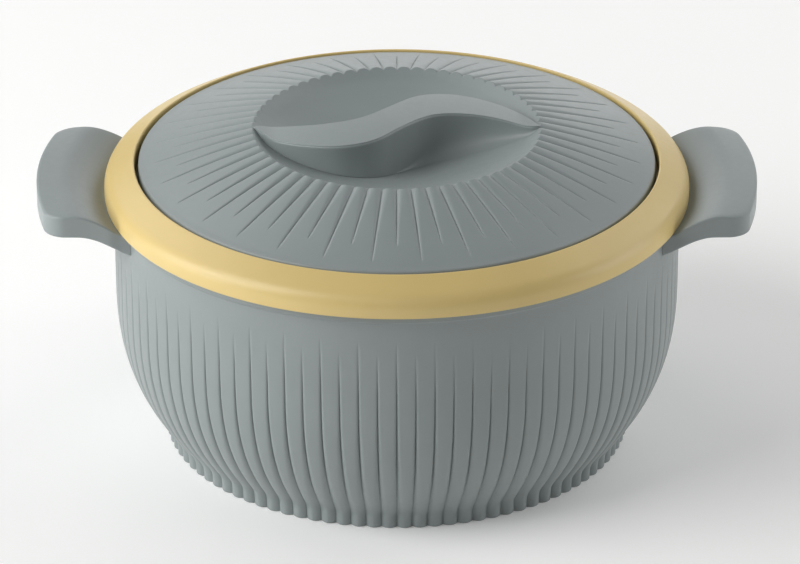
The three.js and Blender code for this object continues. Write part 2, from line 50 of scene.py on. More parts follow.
# Radii and heights: those of the CAD model, but for the flutes' tips and the edges of lid and ring
LID_RADIUS, LID_EDGE_RADIUS, LID_EDGE_LIFT, LID_WALL = 115.5, 115.1, 0.3, 2.2
RING_INNER_RADIUS, RING_RADIUS = 116.9, 130.5
RING_TOP, RING_SIDE_TOP, RING_BOTTOM, RING_SKIRT = 131.25, 124.1, 116.0, 2.6
LEDGE_RADIUS, LEDGE_TOP, LEDGE_BOTTOM = 108.9, 122.0, 119.6
LIP_RADIUS, LIP_TOP, LIP_BOTTOM, LIP_SEAT, LIP_HOLE = 127.6, 118.2, 112.0, 2.4, 117.2
BELLY_RADIUS, SHELL_WALL, FOOT_RADIUS, FOOT_RIM = 126.4, 3.2, 104.8, 4.6
BELLY_HEIGHT, BELLY_CURVE = 75.04, 2.6
FOOT_BAND, FOOT_BEND = 7.0, 2.2
SLOT_TOP, SLOT_BOTTOM, SLOT_DEPTH = 6.5, 4.3, 2.6
FLUTES, LONG_TIP, SHORT_TIP, FLUTE_DEPTH = 96, 103.1, 97.0, 1.7
SCALLOP_BOTTOM, SCALLOP_TOP = 3, 20
WELL_RADIUS, RIM_HEIGHT, DOME_SLOPE, DOME_BEND = 64.2, 145.9, 0.262, 0.00086
LID_GROOVES, SHORT_TIP_RADIUS, LONG_TIP_RADIUS, LID_GROOVE_DEPTH = 64, 99.9, 109.0, 1.05
BOWL_TOP, BOWL_MOUTH, BOWL_FLOOR, STEEL = 119.3, 106.4, 35.3, 0.8
SKIRT_BOTTOM, LINER_BOTTOM, LINER_RADIUS, PAN_RADIUS = 122.3, 113.3, 112.4, 102.6
LINER_WALL, COVER_WALL, FILLER_HOLE = 2.0, 2.4, 8

# Where a groove's cross-section has its points, as shares of its half width
GROOVE_STEPS = np.array([-1, -0.65, -0.36, -0.14, 0, 0.14, 0.36, 0.65, 1])
GROOVE_COLUMNS = len(GROOVE_STEPS) + 1

# Half the width of a groove as a share of the pitch, and how much of it a groove has near its tip
NARROWEST, WIDEST = 0.03, 0.48
FLUTE_TIP_SHARE, LID_TIP_SHARE = 0.36, 0.3


def smooth(low, high, x):
    """0 below low, 1 above high, and an even S between."""
    t = np.clip((np.asarray(x, float) - low) / (high - low), 0, 1)
    return t * t * (3 - 2 * t)


def rounded(corners, closed, steps=5):
    """A profile of (radius, height, length) corners.

    Each is cut back by that length on both sides and rounded."""
    corners = np.asarray(corners, float)
    last = len(corners) - 1
    out = []
    for i, (x, z, cut) in enumerate(corners):
        here = np.array([x, z])
        if cut == 0 or (not closed and i in (0, last)):
            out.append(here)
            continue
        before = corners[i - 1][:2] - here
        after = corners[(i + 1) % (last + 1)][:2] - here
        start = here + before / np.linalg.norm(before) * cut
        end = here + after / np.linalg.norm(after) * cut
        for t in np.linspace(0, 1, steps):
            out.append((1 - t) ** 2 * start + 2 * t * (1 - t) * here + t**2 * end)
    return np.array(out)


def turned(profile, count):
    """Rows of points around the axis, one for each (radius, height) of a profile."""
    profile = np.asarray(profile, float)
    around = FRONT + TURN * np.arange(count) / count
    rows = np.empty((len(profile), count, 3))
    rows[..., 0] = profile[:, :1] * np.cos(around)
    rows[..., 1] = profile[:, :1] * np.sin(around)
    rows[..., 2] = profile[:, 1:]
    return rows


def grooved(profile, count, widths, depths, power, down, slit):
    """Rows around the axis with a cusped groove at each pitch, the first at the front.

    widths (half a groove, as a share of the pitch) and depths hold a column for the even grooves
    and one for the odd ones. A groove is cut downwards when down is 1, and inwards when it is 0.
    Its middle is deeper by the share slit of the depth. power and slit have one value for each
    row: the higher the power, the narrower the groove's core."""
    profile = np.asarray(profile, float)
    odd = np.arange(count) % 2
    half = np.clip(widths, NARROWEST, WIDEST)[:, odd, None]
    centre = np.full(half.shape, 0.5)
    offset = np.concatenate([half * GROOVE_STEPS, centre], axis=2)
    reach = np.append(1 - np.abs(GROOVE_STEPS), 0)
    middle = slit[:, None, None] * (reach == 1)
    cut = depths[:, odd, None] * (reach ** power[:, None, None] + middle)
    angle = FRONT + (np.arange(count)[None, :, None] + offset) * TURN / count
    radius = profile[:, 0, None, None] - cut * (1 - down)
    height = profile[:, 1, None, None] - cut * down
    rows = np.stack([radius * np.cos(angle), radius * np.sin(angle), height + 0 * angle], axis=-1)
    return rows.reshape(len(profile), count * GROOVE_COLUMNS, 3)


def plain(profile, count):
    """Rows without grooves that have as many points as grooved rows."""
    none = np.zeros((len(profile), 2))
    return grooved(profile, count, none + 0.3, none, none[:, 0] + 1, 0, none[:, 0])


def skin(name, rows, ringed=False, crease=38):
    """A mesh of closed rows of points, each joined to the next.

    The end rows are filled, or joined to each other when the rows are ringed."""
    rows = np.asarray(rows, float)
    count, around = rows.shape[:2]
    index = np.arange(count * around).reshape(count, around)
    below, above = (index, np.roll(index, -1, axis=0)) if ringed else (index[:-1], index[1:])
    beside = [np.roll(row, -1, axis=1) for row in (below, above)]
    faces = np.stack([below, *beside, above], axis=-1).reshape(-1, 4).tolist()
    if not ringed:
        for end, order in ((0, -1), (count - 1, 1)):
            if np.ptp(rows[end], axis=0).max() > 1e-6:
                faces.append(index[end][::order].tolist())
    mesh = bpy.data.meshes.new(name)
    mesh.from_pydata((rows.reshape(-1, 3) * MM).tolist(), [], faces)
    cleaned = bmesh.new()
    cleaned.from_mesh(mesh)
    bmesh.ops.remove_doubles(cleaned, verts=cleaned.verts, dist=1e-6)
    bmesh.ops.recalc_face_normals(cleaned, faces=cleaned.faces)
    cleaned.to_mesh(mesh)
    cleaned.free()
    mesh.shade_smooth()
    mesh.set_sharp_from_angle(angle=math.radians(crease))
    piece = bpy.data.objects.new(name, mesh)
    bpy.context.scene.collection.objects.link(piece)
    return piece


# The shell


def belly(height):
    """Radius of the shell's ribs, which curve in from the upright belly to the foot band."""
    climb = (np.asarray(height, float) - FOOT_BAND) / (BELLY_HEIGHT - FOOT_BAND)
    bend = FOOT_BEND / (BELLY_HEIGHT - FOOT_BAND)
    share = np.clip((climb + np.sqrt(climb**2 + bend**2)) / 2, 0, 1)
    return FOOT_RADIUS + (BELLY_RADIUS - FOOT_RADIUS) * (1 - (1 - share) ** BELLY_CURVE)


def spread(share, least):
    """Width of a groove as a share of its full width, at shares of its length from the tip.

    Near the tip it is at least the share least."""
    return np.maximum(share**1.15, least * smooth(0, 0.04, share))


def fluted(profile):
    """Rows of the shell's outside, with the flutes as they are at each height."""
    height = profile[:, 1:]
    tip = np.array([[LONG_TIP, SHORT_TIP]])
    share = np.clip((tip - np.maximum(height, FOOT_BAND)) / (tip - FOOT_BAND), 0, 1)
    pillow = 1 - smooth(SCALLOP_BOTTOM, SCALLOP_TOP, height)
    near = share.mean(axis=1)
    widths = WIDEST * (spread(share, FLUTE_TIP_SHARE) * (1 - pillow) + pillow)
    depths = FLUTE_DEPTH * share**0.8
    power = 3.2 - 1.2 * near**1.5
    slit = 0.35 * smooth(0.08, 0.3, near) * (1 - smooth(0.55, 0.95, near))
    return grooved(profile, FLUTES, widths, depths, power, 0, slit)


def outer_shell():
    # The lowest edge, in from the belly's radius, and the heights of the rows above it
    edge = np.array([[-0.5, 0], [-0.15, 0.15], [0, 0.5]])
    edge[:, 0] += belly(edge[:, 1])
    low = np.array([1.4, 2.6, 3.8, 4.8, 5.6, 6.3, 7.0, 7.7, 8.5, 9.5, 10.8, 12.2])
    high = np.concatenate([np.linspace(14, 88, 40), np.linspace(89.5, 103.5, 18), [107]])
    heights = np.concatenate([low, high])
    wall = np.stack([belly(heights), heights], axis=1)
    lip = rounded(
        [
            (BELLY_RADIUS, LIP_BOTTOM - 2, 0),
            (BELLY_RADIUS, LIP_BOTTOM + 0.1, 0.9),
            (LIP_RADIUS, LIP_BOTTOM + 0.5, 0.55),
            (LIP_RADIUS, LIP_TOP, 0),
        ],
        closed=False,
    )
    seat_height = LIP_TOP - LIP_SEAT
    inner = [(belly(h) - SHELL_WALL, h) for h in (96.2, 67.7, 44.5, 23.1)]
    foot = FOOT_RADIUS - FOOT_RIM
    inside = [(LIP_HOLE, LIP_TOP), (LIP_HOLE, seat_height)]
    inside += [(BELLY_RADIUS - SHELL_WALL, seat_height), *inner, (foot, SLOT_TOP)]
    inside += [(foot - SLOT_DEPTH, SLOT_TOP), (foot - SLOT_DEPTH, SLOT_BOTTOM)]
    inside += [(foot, SLOT_BOTTOM), (foot, 0.4), (foot + 0.4, 0)]
    outside = fluted(np.concatenate([edge, wall]))
    rows = [outside, plain(lip, FLUTES), plain(np.array(inside), FLUTES)]
    return skin("shell_skin", np.concatenate(rows), ringed=True)


# The round pieces


def rim_ring():
    skirt = RING_RADIUS - RING_SKIRT
    corners = [
        (RING_RADIUS, RING_BOTTOM, 0.35),
        (RING_RADIUS, RING_SIDE_TOP, 5.0),
        (RING_INNER_RADIUS, RING_TOP, 1.4),
        (RING_INNER_RADIUS, LEDGE_TOP, 0.4),
        (LEDGE_RADIUS, LEDGE_TOP, 0.6),
        (LEDGE_RADIUS, LEDGE_BOTTOM, 0.6),
        (skirt, LEDGE_BOTTOM, 0.4),
        (skirt, RING_BOTTOM, 0.3),
    ]
    return skin("ring_skin", turned(rounded(corners, closed=True, steps=9), 288), ringed=True)


def inner_bowl():
    def outline(offset):
        """The bowl's inside from mouth to middle, or its outside at the steel's offset."""
        wall = BOWL_MOUTH - 3
        flat, bend, bend_height = 62, wall - 5, 34
        floor_height = BOWL_FLOOR + STEEL - offset
        points = [(wall + offset, BOWL_TOP - 3 - offset / 2)]
        for turn in np.linspace(0, math.pi / 2, 17):
            radius = flat + (bend - flat) * math.cos(turn)
            points.append((radius + offset, floor_height + bend_height * (1 - math.sin(turn))))
        return points + [(20, floor_height), (0, floor_height)]

    flange, below = LIP_RADIUS - 2.1, BOWL_TOP - STEEL
    profile = outline(STEEL)[::-1] + [(BOWL_MOUTH + STEEL, below), (flange, below)]
    profile += [(flange, BOWL_TOP), (BOWL_MOUTH + 1.6, BOWL_TOP)]
    profile += [(BOWL_MOUTH + 0.5, BOWL_TOP - 0.2), (BOWL_MOUTH - 0.6, BOWL_TOP - 0.9)]
    return skin("bowl_skin", turned(profile + outline(0), 192))


def base_cover():
    bottom, step, radius = 1.6, 3, 99.3
    top = bottom + COVER_WALL
    inner, outer = 80.3, 83.3
    corners = [
        (FILLER_HOLE, bottom + step, 0.3),
        (inner, bottom + step, 1.2),
        (outer, bottom, 1.2),
        (radius, bottom, 0.6),
        (radius, top, 0.3),
        (outer, top, 1.2),
        (inner, top + step, 1.2),
        (FILLER_HOLE, top + step, 0.3),
    ]
    return skin("base_skin", turned(rounded(corners, closed=True), 144), ringed=True)


def filler_plug(name, wall_bottom, wall):
    """A plug with a flat head below a wall and a barb above it."""
    head, barb = wall_bottom - 0.3, wall_bottom + wall + 0.3
    head_bottom, barb_top = head - 1.4, barb + 2.2
    head_radius, shaft = 11.5, FILLER_HOLE - 0.3
    corners = [
        (0, head_bottom, 0),
        (head_radius, head_bottom, 0.6),
        (head_radius, head, 0.2),
        (shaft, head, 0),
        (shaft, barb, 0),
        (8.6, barb, 0.2),
        (6.8, barb_top, 0.2),
        (0, barb_top, 0),
    ]
    return skin(name, turned(rounded(corners, closed=False), 64))


def lid_liner():
    top = SKIRT_BOTTOM + 2.2
    inside = PAN_RADIUS - LINER_WALL
    corners = [
        (FILLER_HOLE, LINER_BOTTOM, 0.3),
        (PAN_RADIUS, LINER_BOTTOM, 4),
        (PAN_RADIUS, SKIRT_BOTTOM, 0.4),
        (LINER_RADIUS, SKIRT_BOTTOM, 0.3),
        (LINER_RADIUS, top, 0.3),
        (inside, top, 0.3),
        (inside, LINER_BOTTOM + LINER_WALL, 2.4),
        (FILLER_HOLE, LINER_BOTTOM + LINER_WALL, 0.3),
    ]
    return skin("liner_skin", turned(rounded(corners, closed=True), 192), ringed=True)


# The lid's cover and its grip

# Radius and height of the well's dish from its middle up to the rim
WALL_TOP_RADIUS = 62.6
WELL_KNOTS = np.array(
    [(0, 128.2), (10, 128.75), (21, 130.7), (32, 133.2), (43, 136.2), (54, 139.9), (60, 142.6)]
    + [(WALL_TOP_RADIUS, 144.6)]
)


def curve(knots, places):
    """A smooth curve through (x, y) knots, read at places along x."""
    x, y = knots.T
    slope = np.gradient(y, x)
    slope[0] = 0
    i = np.clip(np.searchsorted(x, places) - 1, 0, len(x) - 2)
    span = x[i + 1] - x[i]
    t = (places - x[i]) / span
    low = (1 + 2 * t) * (1 - t) ** 2 * y[i] + t * (1 - t) ** 2 * span * slope[i]
    return low + t * t * (3 - 2 * t) * y[i + 1] + t * t * (t - 1) * span * slope[i + 1]


def well(radius):
    return curve(WELL_KNOTS, np.asarray(radius, float))


def dome(radius):
    """Height of the lid between the well's rim and its edge, a little steeper outwards."""
    out = np.asarray(radius, float) - WELL_RADIUS
    return RIM_HEIGHT - DOME_SLOPE * out - DOME_BEND * out**2


def rim_rows(last):
    """Rows over the well's rim: each groove runs on inwards until it meets the well's wall."""
    sunk = last[:, 2] - 0.05 * (RIM_HEIGHT - last[:, 2])
    wall = np.array([WALL_TOP_RADIUS, 60, 57])
    radii, heights = np.append(WELL_RADIUS, wall), np.append(RIM_HEIGHT, well(wall))
    inner = np.interp(-(last[:, 2] - 0.1), -heights, radii)
    way = last[:, :2] / np.linalg.norm(last[:, :2], axis=1)[:, None]
    rows = []
    for out, down in ((0.3, 0), (0.05, 0.1), (-0.3, 0.4)):
        rows.append(np.column_stack([way * (inner + out)[:, None], sunk - down]))
    return np.array(rows)


def lid_cover():
    outermost = 112.6
    inwards = [[outermost, 111.3], np.linspace(109.8, 97.2, 15), np.linspace(96, 66.5, 22)]
    radii = np.concatenate([*inwards, [65.4, 64.6, WELL_RADIUS]])
    top = np.stack([radii, dome(radii)], axis=1)
    tip = np.array([[SHORT_TIP_RADIUS, LONG_TIP_RADIUS]])
    share = np.clip((tip - radii[:, None]) / (tip - WELL_RADIUS), 0, 1)
    widths = WIDEST * spread(share, LID_TIP_SHARE)
    depths = LID_GROOVE_DEPTH * share**0.5
    near = share.mean(axis=1)
    power, slit = 3 - 0.8 * near**2, 0.15 * (1 - near**4)
    ribs = grooved(top, LID_GROOVES, widths, depths, power, 1, slit)
    ends = rim_rows(ribs[-1])
    dish = np.concatenate([np.linspace(60.4, 30, 22), np.linspace(26, 0, 6)])
    edge = rounded(
        [
            (LID_RADIUS, SKIRT_BOTTOM, 0),
            (LID_EDGE_RADIUS, float(dome(LID_EDGE_RADIUS)) + LID_EDGE_LIFT, 1.1),
            (outermost, float(dome(outermost)), 0),
        ],
        closed=False,
        steps=7,
    )[:-1]
    inside = LID_RADIUS - LID_WALL
    below = [(0, 125.8), (16.2, 127.4), (34.7, 131.5), (54.3, 137.5), (WELL_RADIUS, 142.4)]
    below += [(LONG_TIP_RADIUS, 130.3), (inside, 127.6)]
    below += [(inside, SKIRT_BOTTOM + 0.3), (inside + 0.3, SKIRT_BOTTOM)]
    rows = [
        plain(np.array(below), LID_GROOVES),
        plain(edge, LID_GROOVES),
        ribs,
        ends,
        plain(np.stack([dish, well(dish)], axis=1), LID_GROOVES),
    ]
    return skin("lid_skin", np.concatenate(rows))


# Back edge of the S-shaped grip from its left tip to its right tip, as shares of half its length
GRIP_EDGE = np.array(
    [(-1, 0), (-0.93, 0.008), (-0.78, -0.039), (-0.6, -0.074), (-0.42, -0.068), (-0.28, -0.03)]
    + [(-0.18, 0.035), (-0.08, 0.133), (0.02, 0.242), (0.12, 0.345), (0.24, 0.408)]
    + [(0.42, 0.425), (0.64, 0.361), (0.84, 0.23), (1, 0)]
)
GRIP_HALF_LENGTH = WELL_RADIUS - 0.1

# How high the grip's middle stands over the rim, its fall to the tips, and their rise to the rim
GRIP_CROWN, GRIP_FALL, TIP_RISE = 5.35, 7.0, 1.4

# The grip's upper edge, over a rounded shoulder and a small step: how far in from the side
# each point lies, and how far below the top
SHOULDER = np.array(
    [(0, 1.05), (0.04, 0.88), (0.14, 0.74), (0.32, 0.6), (0.36, 0.52), (0.38, 0.24), (0.42, 0.1)]
    + [(0.52, 0)]
)

# Clear height below the grip and below its fillet, and the fillet's reach and height
GRIP_CLEAR, FLARE_CLEAR = 0.15, 0.03
FLARE, FLARE_HEIGHT = 8.5, 12.0


def through(points, share):
    """Points of a smooth curve through points, at shares of the way from the first to the last."""
    place = share * (len(points) - 1)
    i = np.minimum(place.astype(int), len(points) - 2)
    t = (place - i)[:, None]
    before, start = points[np.maximum(i - 1, 0)], points[i]
    end, after = points[i + 1], points[np.minimum(i + 2, len(points) - 1)]
    leave, arrive = (end - before) / 2, (after - start) / 2
    cubic = (2 * start - 2 * end + leave + arrive) * t**3
    return cubic + (-3 * start + 3 * end - 2 * leave - arrive) * t**2 + leave * t + start


def seat(point):
    """Height just above the well, or above its rim, at a point."""
    radius = float(np.hypot(*point))
    beyond = max(0.0, radius - WALL_TOP_RADIUS)
    return float(well(min(radius, WALL_TOP_RADIUS))) + GRIP_CLEAR + beyond * 0.6


def crown(point):
    """Height of the grip's domed top at a point, where each tip levels out into the well's rim."""
    share = float(np.hypot(*point)) / WELL_RADIUS
    rise = TIP_RISE * float(smooth(0.85, 1, share))
    return RIM_HEIGHT + GRIP_CROWN - GRIP_FALL * share**2 + rise


def grip_side(edge, across, thick, start, flared):
    """Points down one side of the grip, from below its shoulder to the well, and its foot in plan.

    As flared goes from 0 to 1, the side runs out on the well in a fillet tangent to both."""
    tall = max(start - seat(edge), 0.05)
    flare = flared * min(FLARE, 0.7 * tall)
    fillet = flared * min(FLARE_HEIGHT, 0.85 * tall)
    foot = edge - across * flare
    points = []
    for share in np.linspace(0, 1, 13)[1:]:
        waist = 0.5 * math.sin(math.pi * share) * min(1, tall / 12)
        hollow = (1 - flared) * min(waist, 0.1 * thick)
        points.append((*(edge + across * hollow), start - share * (tall - fillet)))
    sink = flared * (GRIP_CLEAR - FLARE_CLEAR)
    change = seat(foot) - seat(edge) - sink
    for share in np.linspace(0, 1, 17)[1:]:
        height = (1 - share) ** 2 * fillet + seat(edge) + share**2 * change
        points.append((*(edge - across * flare * share**2), height))
    return points, foot


def lid_grip():
    tip = np.array([0.006, 0.012, 0.02])
    even = np.concatenate([tip, np.linspace(0.03, 0.97, 150), 1 - tip[::-1]])
    share = even - 0.6 * np.sin(TURN * even) / TURN
    back = through(GRIP_EDGE * GRIP_HALF_LENGTH, share)
    front = -through(GRIP_EDGE * GRIP_HALF_LENGTH, 1 - share)
    rows = []
    for b, f in zip(back, front):
        thick = max(np.linalg.norm(f - b), 1e-3)
        across = (f - b) / thick
        shoulder = SHOULDER * min(1, 0.6 * thick)
        width, depth = shoulder.max(axis=0)
        row = []
        for into, drop in shoulder:
            p = b + across * into
            row.append((*p, crown(p) - drop))
        for step in np.linspace(0, 1, 7)[1:-1]:
            p = b + across * (width + step * (thick - 2 * width))
            row.append((*p, crown(p)))
        for into, drop in shoulder[::-1]:
            p = f - across * into
            row.append((*p, crown(p) - drop))
        flared = float(smooth(-0.05, 0.4, f[0] / WELL_RADIUS))
        down, foot_front = grip_side(f, -across, thick, crown(f) - depth, flared)
        up, foot_back = grip_side(b, across, thick, crown(b) - depth, 0.0)
        row += down
        for step in np.linspace(1, 0, 9)[1:-1]:
            p = foot_back + (foot_front - foot_back) * step
            row.append((*p, seat(p)))
        row += up[::-1]
        rows.append(row)
    return skin("grip_skin", np.array(rows), crease=30)


# The handles

HANDLE_ROOT, HANDLE_MIDDLE, HANDLE_TIP = 127.7, 136, 160.5
HANDLE_WIDTH, HANDLE_TAPER, ROOT_TAPER = 50.0, 2.6, 1.4
HANDLE_TOP, HANDLE_BOTTOM, HANDLE_RISE = 115.8, 105.3, 8.5
TOP_RISE_START, RISE_LENGTH, CORNER_FALL = 130.6, 20.0, 1.2
BOSS_RADIUS, BOSS_END, BOSS_HEIGHT, SCREW_ANGLE = 3.8, 138.1, 111.4, math.radians(13)

# How far the root lies further in below the shell's lip
ROOT_STEP = 1.25

# Radii of the rounded edges and corners, and where an edge has its rows
HANDLE_EDGE, HANDLE_CORNER = 1.1, 7.5
EDGE_STEPS = np.array([1, 0.72, 0.48, 0.3, 0.17, 0.08, 0.03, 0.008, 0])


def handle_side(radius):
    """Half width of a handle before its corners are rounded."""
    share = (radius - HANDLE_ROOT) / (HANDLE_TIP - HANDLE_ROOT)
    root = 1 - float(smooth(HANDLE_ROOT, HANDLE_MIDDLE, radius))
    return HANDLE_WIDTH - HANDLE_TAPER * share * (2 - share) - ROOT_TAPER * root


def climbed(radius, start):
    """Share of its rise that a handle has made at a radius, from the one where it starts."""
    return math.sin(math.pi / 2 * min(1, max(0, (radius - start) / RISE_LENGTH)))


def handle_boss(angle):
    """Rows of the round boss below a handle for one of its screws, outwards from the shell."""
    out = np.array([math.cos(angle), math.sin(angle), 0])
    across = np.array([-math.sin(angle), math.cos(angle), 0])
    count, bevel = 32, 0.5
    turn = TURN * np.arange(count) / count
    outline = (
        (BOSS_RADIUS, HANDLE_ROOT - ROOT_STEP * (np.sin(turn) < 0)),
        (BOSS_RADIUS, np.full(count, BOSS_END - bevel)),
        (BOSS_RADIUS - bevel, np.full(count, BOSS_END)),
    )
    rows = []
    for radius, length in outline:
        rows.append(
            np.outer(length, out)
            + np.outer(radius * np.cos(turn), across)
            + np.outer(radius * np.sin(turn) + BOSS_HEIGHT, [0, 0, 1])
        )
    return np.array(rows)


def joined(pieces):
    """The first of some pieces, with the meshes of the others added to its own."""
    whole = bmesh.new()
    for piece in pieces:
        whole.from_mesh(piece.data)
    whole.to_mesh(pieces[0].data)
    whole.free()
    for piece in pieces[1:]:
        bpy.data.objects.remove(piece)
    return pieces[0]


def handle(name, turn):
    """A handle from its root in the shell to its tip, with its two screw bosses.

    Its rows follow the pot's curve, and turn puts it on the left."""
    last = HANDLE_TIP - HANDLE_EDGE - 0.4
    outwards = [[HANDLE_ROOT, 129.6], np.linspace(131, 150, 26), np.linspace(150.8, last, 14)]
    radii = np.concatenate([*outwards, HANDLE_TIP - HANDLE_EDGE * EDGE_STEPS])
    mirror = np.array([1, -1, 1])
    rows = []
    for radius in radii:
        side = handle_side(radius)
        into = max(0.0, radius - (HANDLE_TIP - HANDLE_CORNER))
        cut = HANDLE_CORNER * (1 - math.sqrt(max(0.0, 1 - (into / HANDLE_CORNER) ** 2)))
        flat = (side - cut - HANDLE_EDGE) * np.linspace(0, 1, 15)[:-1]
        columns = np.concatenate([flat, side - cut - HANDLE_EDGE * EDGE_STEPS])
        reach = np.hypot(into, np.maximum(0, columns - (side - HANDLE_CORNER)))
        gap = np.minimum(side - columns, HANDLE_TIP - radius)
        gap = np.where(reach > 0, np.minimum(gap, HANDLE_CORNER - reach), gap)
        past = 1 - np.clip(gap / HANDLE_EDGE, 0, 1)
        edge = HANDLE_EDGE * (1 - np.sqrt(1 - past**2))
        out = max(0, radius - HANDLE_MIDDLE) / (HANDLE_TIP - HANDLE_MIDDLE)
        fall = CORNER_FALL * out**2 * (columns / side) ** 2
        top = HANDLE_TOP + HANDLE_RISE * climbed(radius, TOP_RISE_START) - fall
        bottom = HANDLE_BOTTOM + HANDLE_RISE * climbed(radius, HANDLE_ROOT) - 0.3 * fall
        along = np.sqrt(radius**2 - columns**2)
        upper = np.stack([along, columns, top - edge], axis=1)
        lower = np.stack([along, columns, bottom + edge], axis=1)
        # A row more on each half, so that the root can step inwards below the shell's lip
        bend = np.clip([LIP_BOTTOM + 0.6, LIP_BOTTOM], lower[-1, 2], upper[-1, 2])
        upper = np.vstack([upper, [*upper[-1, :2], bend[0]]])
        lower = np.vstack([lower, [*lower[-1, :2], bend[1]]])
        if radius == HANDLE_ROOT:
            lower[:, 0] -= ROOT_STEP
        rows.append(np.concatenate([upper[::-1], upper * mirror, (lower * mirror)[::-1], lower]))
    # The tip's face is closed along its middle
    middle = np.column_stack([upper[:, :2], (upper[:, 2] + lower[:, 2]) / 2])
    rows.append(np.concatenate([middle[::-1], middle * mirror, (middle * mirror)[::-1], middle]))
    way = np.array([-1, -1, 1]) if turn else np.ones(3)
    angles = (-SCREW_ANGLE, SCREW_ANGLE)
    bosses = [skin(name + "_boss", handle_boss(angle) * way) for angle in angles]
    return joined([skin(name, np.array(rows) * way, crease=50), *bosses])


# Materials

# The part of a noise's values that is used
NOISE_RANGE = (0.3, 0.7)


class Nodes:
    """A material's node tree with a Principled shader, and short ways to add to it."""

    def __init__(self, name):
        self.material = bpy.data.materials.new(name)
        self.material.use_nodes = True
        self.tree = self.material.node_tree
        self.shader = self.tree.nodes["Principled BSDF"]
        self.place = self.add("ShaderNodeTexCoord").outputs["Object"]

    def add(self, kind, **values):
        node = self.tree.nodes.new(kind)
        for key, value in values.items():
            if key in node.inputs:
                node.inputs[key].default_value = value
            else:
                setattr(node, key, value)
        return node

    def link(self, source, target):
        self.tree.links.new(source, target)

    def noise(self, scale, detail=3.0, vector=None):
        node = self.add("ShaderNodeTexNoise", Scale=scale, Detail=detail)
        self.link(vector or self.place, node.inputs["Vector"])
        return node.outputs["Fac"]

    def ranged(self, source, low, high):
        """A noise's middle range stretched from low to high."""
        node = self.add("ShaderNodeMapRange")
        node.inputs["From Min"].default_value = NOISE_RANGE[0]
        node.inputs["From Max"].default_value = NOISE_RANGE[1]
        node.inputs["To Min"].default_value = low
        node.inputs["To Max"].default_value = high
        self.link(source, node.inputs["Value"])
        return node.outputs["Result"]

    def ramp(self, source, colours):
        """Two colours blended by a noise's middle range."""
        node = self.add("ShaderNodeValToRGB")
        stops = node.color_ramp.elements
        for stop, colour, place in zip(stops, colours, NOISE_RANGE):
            stop.color, stop.position = (*colour, 1), place
        self.link(source, node.inputs["Fac"])
        return node.outputs["Color"]

    def bump(self, source, strength, distance, after=None):
        node = self.add("ShaderNodeBump", Strength=strength, Distance=distance)
        self.link(source, node.inputs["Height"])
        if after:
            self.link(after, node.inputs["Normal"])
        return node.outputs["Normal"]


def linear(red, green, blue):
    """A colour given from 0 to 255 on screen, as the light it stands for."""
    shares = np.array([red, green, blue]) / 255
    return tuple(np.where(shares <= 0.04045, shares / 12.92, ((shares + 0.055) / 1.055) ** 2.4))


def moulded(name, colour, roughness, gloss=0.5, cloudy=0.025):
    """Moulded plastic: an even colour with a faint cloudiness, and a fine spark-eroded grain."""
    nodes = Nodes(name)
    colour = np.array(colour)
    tones = (colour * (1 - cloudy), colour * (1 + cloudy))
    nodes.link(nodes.ramp(nodes.noise(28, 4), tones), nodes.shader.inputs["Base Color"])
    rough = nodes.ranged(nodes.noise(340, 3), roughness - 0.04, roughness + 0.04)
    nodes.link(rough, nodes.shader.inputs["Roughness"])
    nodes.shader.inputs["Specular IOR Level"].default_value = gloss
    grain = nodes.bump(nodes.noise(2600, 2), 0.10, 0.00006)
    wave = nodes.bump(nodes.noise(60, 2), 0.05, 0.0004, grain)
    nodes.link(wave, nodes.shader.inputs["Normal"])
    return nodes.material


def metal(name, colour, roughness, turned_lines):
    """Steel with fine lines: around the axis where it is spun, and scattered where it is not."""
    nodes = Nodes(name)
    vector = nodes.place
    if turned_lines:
        split = nodes.add("ShaderNodeSeparateXYZ")
        nodes.link(nodes.place, split.inputs["Vector"])
        flat = nodes.add("ShaderNodeCombineXYZ")
        nodes.link(split.outputs["X"], flat.inputs["X"])
        nodes.link(split.outputs["Y"], flat.inputs["Y"])
        length = nodes.add("ShaderNodeVectorMath", operation="LENGTH")
        nodes.link(flat.outputs["Vector"], length.inputs[0])
        lines = nodes.add("ShaderNodeCombineXYZ")
        nodes.link(length.outputs["Value"], lines.inputs["X"])
        nodes.link(split.outputs["Z"], lines.inputs["Y"])
        vector = lines.outputs["Vector"]
    colour = np.array(colour)
    tones = (colour * 0.95, np.minimum(colour * 1.04, 1))
    nodes.link(nodes.ramp(nodes.noise(160, 3, vector), tones), nodes.shader.inputs["Base Color"])
    rough = nodes.ranged(nodes.noise(420, 3, vector), roughness - 0.05, roughness + 0.06)
    nodes.link(rough, nodes.shader.inputs["Roughness"])
    nodes.shader.inputs["Metallic"].default_value = 1
    fine = nodes.bump(nodes.noise(2200, 2, vector), 0.16, 0.00004)
    nodes.link(fine, nodes.shader.inputs["Normal"])
    return nodes.material


def foamed(name, colour):
    """Rigid foam: pale, with closed cells."""
    nodes = Nodes(name)
    cells = nodes.add("ShaderNodeTexVoronoi", Scale=1100)
    nodes.link(nodes.place, cells.inputs["Vector"])
    tones = (np.array(colour) * 0.92, colour)
    nodes.link(nodes.ramp(nodes.noise(45, 4), tones), nodes.shader.inputs["Base Color"])
    nodes.shader.inputs["Roughness"].default_value = 0.95
    nodes.link(nodes.bump(cells.outputs["Distance"], 0.5, 0.0004), nodes.shader.inputs["Normal"])
    return nodes.material


